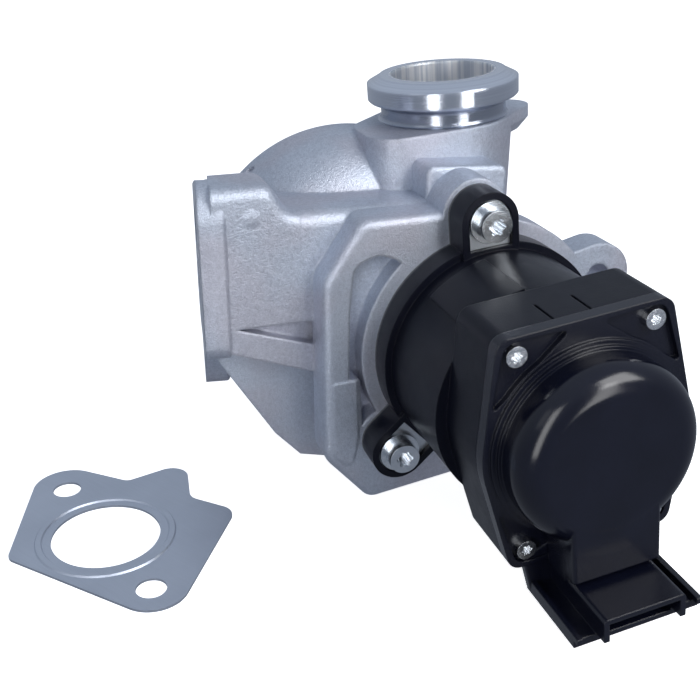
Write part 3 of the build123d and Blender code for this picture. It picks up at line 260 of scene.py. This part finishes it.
ringed = rings.mix((0.54, 0.58, 0.66, 1), (0.78, 0.82, 0.90, 1))
# The turned rings, with the neck darkened as painted shade.
rings_with_painted_neck_shade = neck.mix(ringed, (0.40, 0.43, 0.50, 1))
painted_reflection_streaks = reflection_streak_mask.mix((0.62, 0.66, 0.73, 1), (1.0, 1.0, 1.0, 1))
feed(cast,
     Base_Color=machined.mix(skin, reamed.mix(rings_with_painted_neck_shade, painted_reflection_streaks)),
     Roughness=((0.50 + (sand - 0.5) * 0.2) * (1 - machined) + (rings * 0.12 + 0.12) * turned
                + milled * 0.28 + reamed * 0.22),
     Metallic=machined * 0.15 + 0.82,
     Normal=relief((sand * 0.55 + pits * 0.45) * (1 - machined) + rings * turned * 0.10
                   + cuts * milled * 0.05, 0.00028, 0.0013))
dress(cast, "valve_housing")

# Pad of the casting between the upper ear and the column: it stands proud of the column's front,
# with soft edges, and is one with the housing in the same grey skin.


def raised_slab(name, outline, front, back, soften, finish, turn=0.0):
    """A slab between two depths, its outline seen from the front and its edges softened."""
    across = Vector((math.cos(turn), 0.0, math.sin(turn)))
    up = Vector((-math.sin(turn), 0.0, math.cos(turn)))
    count = len(outline)
    corners = [across * x + up * z + Vector((0.0, depth, 0.0))
               for depth in (front, back) for x, z in outline]
    ends = [tuple(range(count)), tuple(range(2 * count - 1, count - 1, -1))]
    sides = [(i, i + count, (i + 1) % count + count, (i + 1) % count) for i in range(count)]
    mesh = bpy.data.meshes.new(name)
    mesh.from_pydata(corners, [], ends + sides)
    for face in mesh.polygons:
        face.use_smooth = True
    mesh.materials.append(finish)
    slab = bpy.data.objects.new(name, mesh)
    bpy.context.scene.collection.objects.link(slab)
    edges = slab.modifiers.new("soft_edges", "BEVEL")
    edges.width, edges.segments, edges.angle_limit = soften, 4, math.radians(40)
    edges.harden_normals = True
    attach(slab, "valve_body")


pad_outline = [(-0.0152, 0.0400), (-0.0152, 0.0515), (-0.0146, 0.0531), (-0.0131, 0.0541),
               (0.0098, 0.0528), (0.0112, 0.0520), (0.0118, 0.0505), (0.0118, 0.0400)]
raised_slab("column_pad", pad_outline, front=0.0126, back=0.0285, soften=0.0016,
            finish=cast)

# Core plug: a zinc plated steel cup pressed into the rear end of the valve bore.
# Its face is left as drawn, with faint press rings.
actuator_axis = (0.0, 1.0, 0.0)
plug, place = new_finish("drawn_zinc_cup", 1.0)
draw_marks = tool_marks(0.0006, X=place.off_axis(actuator_axis))
stain = grain(place, 0.006, 3.0)
feed(plug,
     Base_Color=stain.mix((0.50, 0.50, 0.47, 1), (0.70, 0.72, 0.76, 1)),
     Roughness=stain * 0.2 + 0.22,
     Normal=relief(draw_marks, 0.00004, 0.0003))
dress(plug, "core_plug")

# Seat ring: a ring of heat resistant steel that the valve's head closes on.
# It is pressed into the casting and ground on its sealing face.
seat, place = new_finish("ground_seat_steel", 1.0)
grind = tool_marks(0.0002, X=place.off_axis(actuator_axis))
feed(seat,
     Base_Color=grind.mix((0.42, 0.41, 0.40, 1), (0.60, 0.59, 0.58, 1)),
     Roughness=grind * 0.15 + 0.18,
     Normal=relief(grind, 0.00003))
dress(seat, "seat_ring")

# Stem guide: a sintered bronze bush that carries the valve stem.
# The sinter leaves open pores and a dull brown gold skin.
bronze, place = new_finish("sintered_bronze", 1.0)
pores = grain(place, 0.0003, 1.0)
feed(bronze,
     Base_Color=pores.step(0.35, 0.6).mix((0.20, 0.13, 0.07, 1), (0.50, 0.33, 0.17, 1)),
     Roughness=0.62 - pores * 0.25,
     Normal=relief(pores, 0.00008))
dress(bronze, "stem_guide")

# Stem seal: a moulded ring of brown fluorine rubber that sits on the guide
# and wipes soot off the stem before it reaches the bush.
rubber, place = new_finish("brown_seal_rubber")
rubber_bloom = grain(place, 0.0015, 3.0)
feed(rubber,
     Base_Color=rubber_bloom.mix((0.045, 0.018, 0.012, 1), (0.085, 0.040, 0.026, 1)),
     Roughness=rubber_bloom * 0.25 + 0.45,
     Normal=relief(rubber_bloom, 0.00005))
dress(rubber, "stem_seal")

# Poppet valve: one forging of valve steel, with a ground stem and a head that is turned
# on its face and straw coloured by the heat of the exhaust gas.
valve, place = new_finish("valve_steel", 1.0)
from_stem = place.off_axis(actuator_axis)
head = from_stem.step(0.004, 0.009)
turning = tool_marks(0.00025, X=from_stem, Y=place.along(actuator_axis))
feed(valve,
     Base_Color=head.mix((0.58, 0.58, 0.59, 1), (0.44, 0.37, 0.27, 1)),
     Roughness=turning * 0.15 + head * 0.12 + 0.15,
     Normal=relief(turning, 0.00003))
dress(valve, "poppet_valve")

# Return spring: a coil of oil hardened wire between the casting and the retainer.
# It is shot peened, which leaves fine dents in its dark scale.
spring, place = new_finish("oil_hardened_wire", 0.9)
peening = grain(place, 0.00035, 1.0)
feed(spring,
     Base_Color=peening.mix((0.07, 0.07, 0.08, 1), (0.19, 0.19, 0.20, 1)),
     Roughness=peening * 0.3 + 0.28,
     Normal=relief(peening, 0.00006))
dress(spring, "return_spring")

# Spring retainer and collets: hardened steel turned parts, blued by the heat treatment.
# The two collets wedge the retainer on the stem.
blued, place = new_finish("hardened_steel", 1.0)
temper = grain(place, 0.004)
feed(blued,
     Base_Color=temper.mix((0.13, 0.14, 0.19, 1), (0.30, 0.29, 0.28, 1)),
     Roughness=temper * 0.2 + 0.2,
     Normal=relief(grain(place, 0.0003), 0.00003))
dress(blued, "spring_retainer", "collets")

# Base gasket: a die cut sheet of grey fibre and rubber between casting and actuator.
# It seals the joint and keeps the casting's heat from the motor.
fibre, place = new_finish("fibre_gasket")
strands = grain(place, 0.0005, 4.0)
feed(fibre,
     Base_Color=strands.step(0.3, 0.7).mix((0.08, 0.083, 0.09, 1), (0.17, 0.175, 0.185, 1)),
     Roughness=strands * 0.2 + 0.7,
     Normal=relief(strands, 0.00008))
dress(fibre, "base_gasket")

# Base plate: pressed steel with bright zinc plating. It carries the motor, and its
# ears lie bare under the mounting screws in the windows of the black housing.
pressed, place = new_finish("plated_pressing", 0.95)
rolling = grain(place, 0.0007, 3.0)
spangle = grain(place, 0.004, 3.0)
feed(pressed,
     Base_Color=(spangle * 0.7 + rolling * 0.3).mix((0.52, 0.56, 0.60, 1), (0.78, 0.81, 0.85, 1)),
     Roughness=spangle * 0.25 + 0.25,
     Normal=relief(rolling, 0.00003, 0.0003))
dress(pressed, "base_plate")

# Actuator housing: black nylon with glass fibre, moulded over the motor can. The barrel is
# satin from the spark eroded mould, and flow lines show faintly in its skin.
nylon, place = new_finish("black_nylon", Specular_IOR_Level=0.17)
bloom = grain(place, 0.014, 3.0)
pebble = grain(place, 0.00035, 1.0)
flow = grain(place, 0.004, 4.0)
feed(nylon,
     Base_Color=(bloom * 0.7 + pebble * 0.3).mix((0.0020, 0.0024, 0.0052, 1),
                                                 (0.0060, 0.0070, 0.0150, 1)),
     Roughness=bloom * 0.16 + flow * 0.12 + 0.20,
     Normal=relief(pebble * 0.8 + flow * 0.2, 0.00005, 0.0006))
dress(nylon, "actuator_housing")

# Mounting screws: three zinc plated flange screws with a six lobed socket, heads up in
# the windows of the ears. The plating is clear, with a cool cast and handling scuffs.
zinc, place = new_finish("clear_zinc_plate", 1.0)
smear = grain(place, 0.0022, 3.0)
scuff = grain(place, 0.0005)
feed(zinc,
     Base_Color=smear.mix((0.55, 0.60, 0.64, 1), (0.88, 0.90, 0.94, 1)),
     Roughness=smear * 0.22 + 0.12,
     Normal=relief(scuff, 0.00004, 0.0002))
dress(zinc, "mounting_screws")

# Stator core: a stack of punched silicon steel sheets with slots for the coils.
# The sheets are locked together and coated with a grey varnish.
sheet_thickness = 0.00035
stack, place = new_finish("stator_sheets", 0.8)
sheets = ripple(place.along(actuator_axis), sheet_thickness)
varnish = grain(place, 0.003, 3.0)
feed(stack,
     Base_Color=(sheets * 0.4 + varnish * 0.6).mix((0.13, 0.13, 0.14, 1), (0.30, 0.30, 0.31, 1)),
     Roughness=varnish * 0.3 + 0.3,
     Normal=relief(sheets, 0.00005))
dress(stack, "stator_core")

# Stator coils: enamelled copper wire, wound on the teeth of the core
# and dipped in clear resin that holds the turns.
wire_pitch = 0.0006
coil, place = new_finish("enamelled_copper", 0.9)
turns = ripple(place.along(actuator_axis), wire_pitch)
dip = grain(place, 0.002, 3.0)
feed(coil,
     Base_Color=(turns * 0.5 + dip * 0.5).mix((0.24, 0.065, 0.022, 1), (0.66, 0.27, 0.10, 1)),
     Roughness=dip * 0.2 + 0.2,
     Normal=relief(turns, 0.00015))
dress(coil, "stator_coils")

# End shields: two turned aluminium discs that hold the bearings at either end of the motor.
# The lathe leaves fine rings on their faces.
shield, place = new_finish("turned_aluminium", 1.0)
lathe = tool_marks(0.0003, X=place.off_axis(actuator_axis))
feed(shield,
     Base_Color=lathe.mix((0.50, 0.52, 0.55, 1), (0.74, 0.76, 0.79, 1)),
     Roughness=lathe * 0.2 + 0.2,
     Normal=relief(lathe, 0.00004))
dress(shield, "front_end_shield", "rear_end_shield")

# Bearings: two deep groove ball bearings of chrome steel. The rings are ground, the balls are
# lapped to a mirror under a film of grease.
race, place = new_finish("ground_bearing_steel", 1.0)
hone = grain(place, 0.0002)
feed(race,
     Base_Color=hone.mix((0.50, 0.50, 0.51, 1), (0.68, 0.68, 0.69, 1)),
     Roughness=hone * 0.12 + 0.12)
ball, place = new_finish("lapped_ball_steel", 1.0)
grease = grain(place, 0.0012)
feed(ball,
     Base_Color=grease.mix((0.58, 0.56, 0.50, 1), (0.78, 0.78, 0.79, 1)),
     Roughness=grease * 0.2 + 0.04)
for end in ("front", "rear"):
    dress(race, f"{end}_bearing_outer_ring", f"{end}_bearing_inner_ring")
    dress(ball, f"{end}_bearing_balls")

# Rotor hub: a glass filled polymer nut with a moulded lead thread, in natural amber.
# It carries the magnets and turns in the two bearings.
hub, place = new_finish("amber_polymer")
fill = grain(place, 0.0008, 3.0)
feed(hub,
     Base_Color=fill.mix((0.30, 0.20, 0.10, 1), (0.50, 0.38, 0.22, 1)),
     Roughness=fill * 0.25 + 0.35,
     Normal=relief(fill, 0.00005))
dress(hub, "rotor_hub")

# Magnets: sintered neodymium with a nickel skin, segments glued round the hub and a small one
# for the sensor. The skin is bright but not flat, as barrel plating leaves it.
nickel, place = new_finish("nickel_plated_magnet", 1.0)
barrel_marks = grain(place, 0.0012)
feed(nickel,
     Base_Color=barrel_marks.mix((0.50, 0.48, 0.44, 1), (0.68, 0.66, 0.62, 1)),
     Roughness=barrel_marks * 0.2 + 0.12,
     Normal=relief(barrel_marks, 0.00003))
dress(nickel, "rotor_magnets", "sensor_magnet")

# Spindle: a lead screw of stainless steel that pushes the valve stem.
# Its thread is rolled, so its flanks are burnished.
screw, place = new_finish("rolled_stainless", 1.0)
roll = tool_marks(0.0002, X=place.along(actuator_axis))
feed(screw,
     Base_Color=roll.mix((0.46, 0.45, 0.44, 1), (0.66, 0.65, 0.63, 1)),
     Roughness=roll * 0.15 + 0.14,
     Normal=relief(roll, 0.00003))
dress(screw, "spindle")

# Spindle guide and magnet holder: natural acetal, milky white and slippery. The guide keeps the
# spindle from turning, and the holder carries the sensor's magnet on its end.
acetal, place = new_finish("natural_acetal", Subsurface_Weight=0.1)
cloud = grain(place, 0.004)
feed(acetal,
     Base_Color=cloud.mix((0.66, 0.65, 0.60, 1), (0.80, 0.79, 0.75, 1)),
     Roughness=cloud * 0.15 + 0.28,
     Normal=relief(grain(place, 0.0004), 0.00003))
dress(acetal, "spindle_guide", "magnet_holder")

# Sensor board: glass epoxy laminate with a green solder mask. The weave of the glass
# cloth shows faintly through the mask.
threads = 2.0 * math.pi / 0.0009
board, place = new_finish("green_solder_mask")
warp = (place.along((1.0, 0.0, 0.0)) * threads).sine()
weft = (place.along((0.0, 0.0, 1.0)) * threads).sine()
weave = warp * weft * 0.5 + 0.5
feed(board,
     Base_Color=weave.mix((0.006, 0.085, 0.036, 1), (0.014, 0.150, 0.064, 1)),
     Roughness=weave * 0.1 + 0.25,
     Normal=relief(weave, 0.00003))
dress(board, "sensor_board")

# Hall sensor: a black epoxy chip with a matt moulded top.
# It is soldered to the board over the sensor's magnet.
chip, place = new_finish("moulded_epoxy")
speck = grain(place, 0.00015)
feed(chip,
     Base_Color=speck.mix((0.014, 0.014, 0.015, 1), (0.034, 0.034, 0.036, 1)),
     Roughness=speck * 0.2 + 0.45,
     Normal=relief(speck, 0.00003))
dress(chip, "hall_sensor")

# Terminal blades: five punched brass blades, from the board down into the plug socket.
# They are tin plated, and wiped a little by the mating plug.
tin, place = new_finish("tin_plated_brass", 1.0)
wipe = grain(place, 0.0009, 3.0)
feed(tin,
     Base_Color=wipe.mix((0.54, 0.52, 0.46, 1), (0.76, 0.75, 0.73, 1)),
     Roughness=wipe * 0.25 + 0.18,
     Normal=relief(wipe, 0.00003))
dress(tin, "terminal_pins")

# Cover seal: a moulded silicone ring that lies in the joint between cap and housing
# and is squeezed by the four cover screws.
silicone, place = new_finish("red_silicone", Subsurface_Weight=0.05)
dust = grain(place, 0.0008, 3.0)
feed(silicone,
     Base_Color=dust.mix((0.26, 0.035, 0.022, 1), (0.42, 0.090, 0.060, 1)),
     Roughness=dust * 0.2 + 0.42,
     Normal=relief(dust, 0.00004))
dress(silicone, "cover_seal")

# Cover: the cap with its round dome, the neck and the plug shroud, one moulding in the same
# black nylon. The dome was polished in the mould and shines more than the flat corners.
dome_r, dome_foot = 0.0262, -0.0675
cap, place = new_finish("black_cap_nylon", Specular_IOR_Level=0.46)
cap_bloom = grain(place, 0.012, 3.0)
cap_pebble = grain(place, 0.0003, 1.0)
cap_flow = grain(place, 0.005, 4.0)
within_dome = 1 - place.off_axis(actuator_axis).step(dome_r + 0.0006, dome_r + 0.0014)
polish = within_dome * (1 - place.along(actuator_axis).step(dome_foot, dome_foot + 0.0010))
feed(cap,
     Base_Color=(cap_bloom * 0.7 + cap_pebble * 0.3).mix((0.0018, 0.0022, 0.0060, 1),
                                                         (0.0056, 0.0068, 0.0165, 1)),
     Roughness=cap_bloom * 0.08 + cap_flow * 0.06 + 0.17 - polish * 0.08,
     Normal=relief(cap_pebble * (1 - polish * 0.7) + cap_flow * 0.25, 0.00004, 0.0006))
dress(cap, "cover")

# Neck face and shroud web: the flat face that runs from the dome down to the plug, and the thin
# wall that joins the shroud to it. Both are moulded with the cap, a few degrees off upright.
cap_turn = math.radians(7.4)
neck_outline = [(-0.0130, -0.0345), (-0.0130, -0.0140), (0.0130, -0.0140), (0.0130, -0.0345)]
web_outline = [(-0.0185, -0.0452), (-0.0205, -0.0330), (-0.0110, -0.0290), (-0.0110, -0.0452)]
raised_slab("neck_face", neck_outline, front=-0.07996, back=-0.0742, soften=0.0010,
            finish=cap, turn=cap_turn)
raised_slab("shroud_web", web_outline, front=-0.0655, back=-0.0625, soften=0.0005,
            finish=cap, turn=cap_turn)

# Cover screws: four small zinc plated screws with a star socket that hold the cap.
# They are brighter than the large ones, with smears from handling.
star, place = new_finish("bright_zinc_plate", 1.0)
handled = grain(place, 0.0011, 3.0)
feed(star,
     Base_Color=handled.mix((0.58, 0.61, 0.64, 1), (0.94, 0.95, 0.97, 1)),
     Roughness=handled * 0.2 + 0.14,
     Normal=relief(handled, 0.00004, 0.00015))
dress(star, "cover_screws")

# Port gasket: spring steel sheet, punched to the flange's outline, with an embossed bead
# round the gas hole. It lies loose on the table, as it is packed with the valve.
across_roll, along_roll = (0.83, 0.56, 0.0), (-0.56, 0.83, 0.0)
sheet, place = new_finish("gasket_spring_steel", 0.92)
cloudy = grain(place, 0.02, 3.0)
rolled = tool_marks(0.0006, 3.0, X=place.along(across_roll), Y=place.along(along_roll) * 0.04)
feed(sheet,
     Base_Color=(cloudy * 0.6 + rolled * 0.4).mix((0.44, 0.48, 0.56, 1), (0.62, 0.67, 0.76, 1)),
     Roughness=cloudy * 0.12 + rolled * 0.12 + 0.33,
     Normal=relief(rolled, 0.00002))
dress(sheet, "port_gasket")
